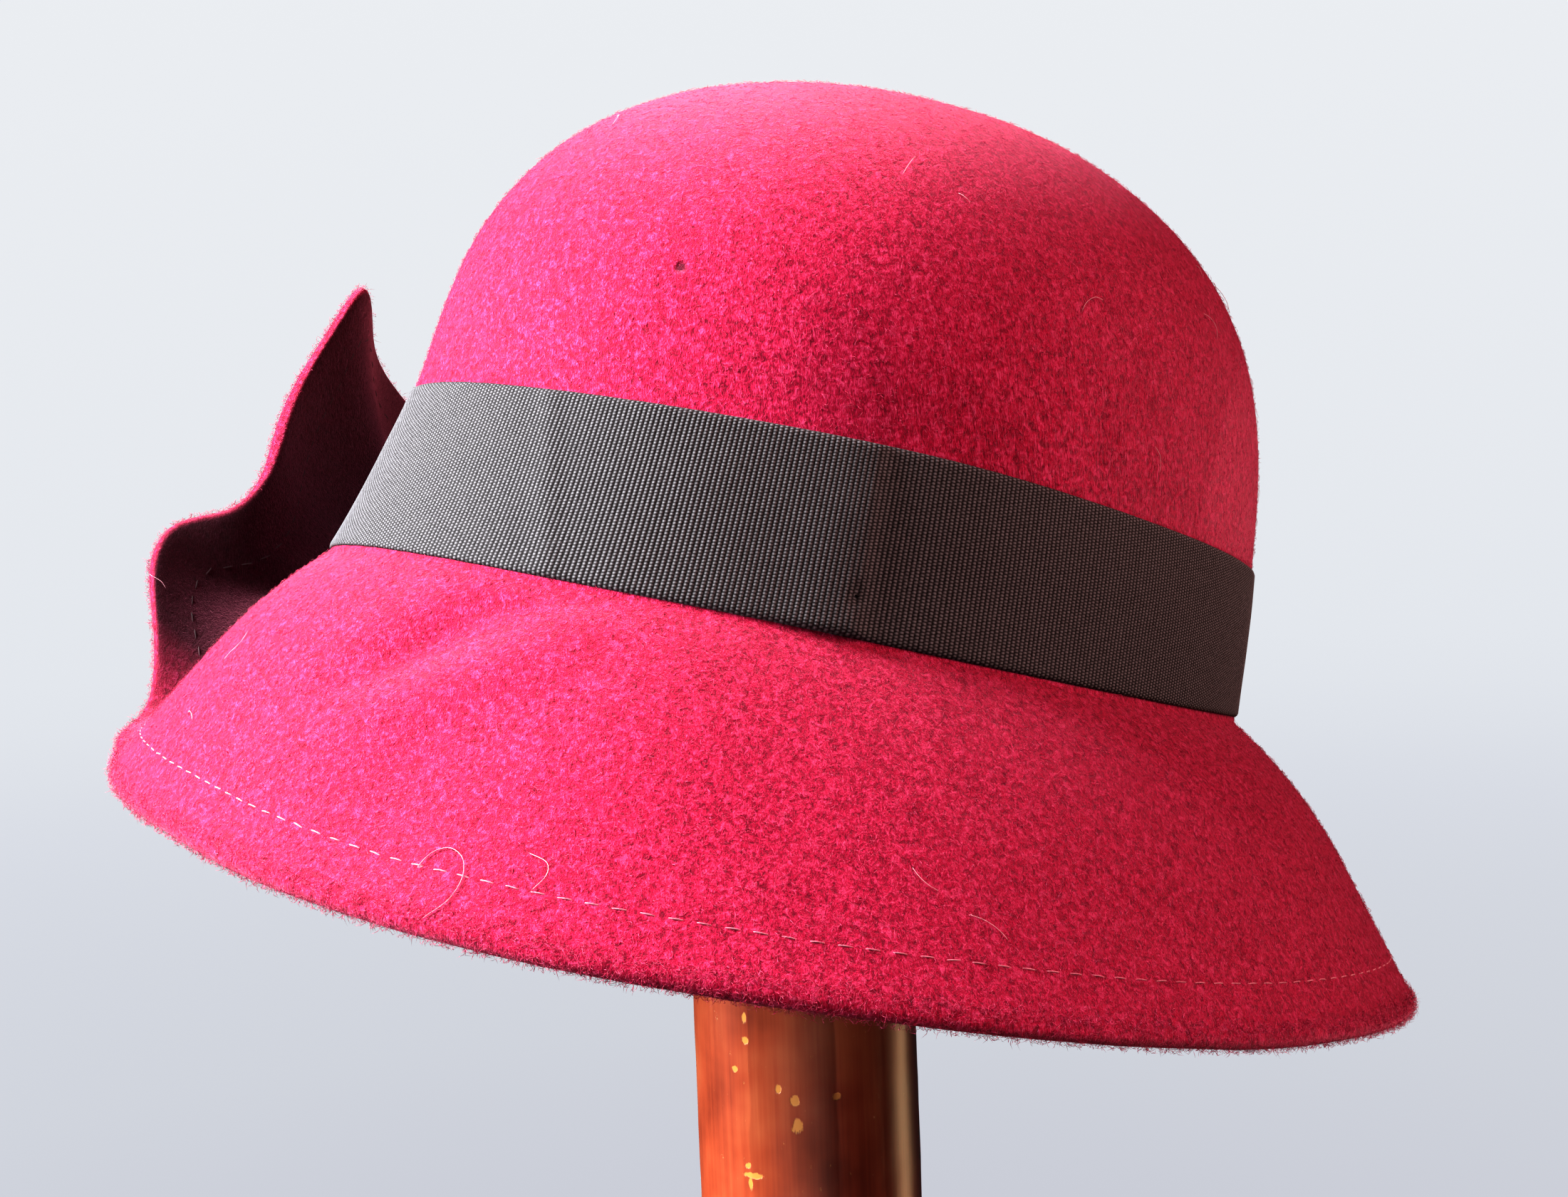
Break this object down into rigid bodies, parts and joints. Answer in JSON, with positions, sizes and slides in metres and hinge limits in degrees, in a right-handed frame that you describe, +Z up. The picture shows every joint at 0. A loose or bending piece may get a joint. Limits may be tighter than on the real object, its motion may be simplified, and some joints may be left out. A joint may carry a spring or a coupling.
{
  "type": "cloche hat on a wooden stand",
  "caption": "Felt cloche hat with a ribbon band and a brim turned up in a peak at one side, hung tilted on a round wooden post stand.",
  "frame": {"origin": "centre of the stand base's underside, where it rests", "axes": "+Z up along the post, -Y towards the front of the hat, +X towards the wearer's left"},
  "size_m": [0.29, 0.2808, 0.3307],
  "materials": {
    "felt": "napped wool felt, raspberry red",
    "ribbon": "ribbed grosgrain, charcoal grey",
    "wood": "reddish-brown varnish, worn and chipped"
  },
  "bodies": {
    "root": {"felt_body": "felt", "ribbon_band": "ribbon", "stand_post": "wood", "stand_base": "wood"}
  },
  "joints": []
}
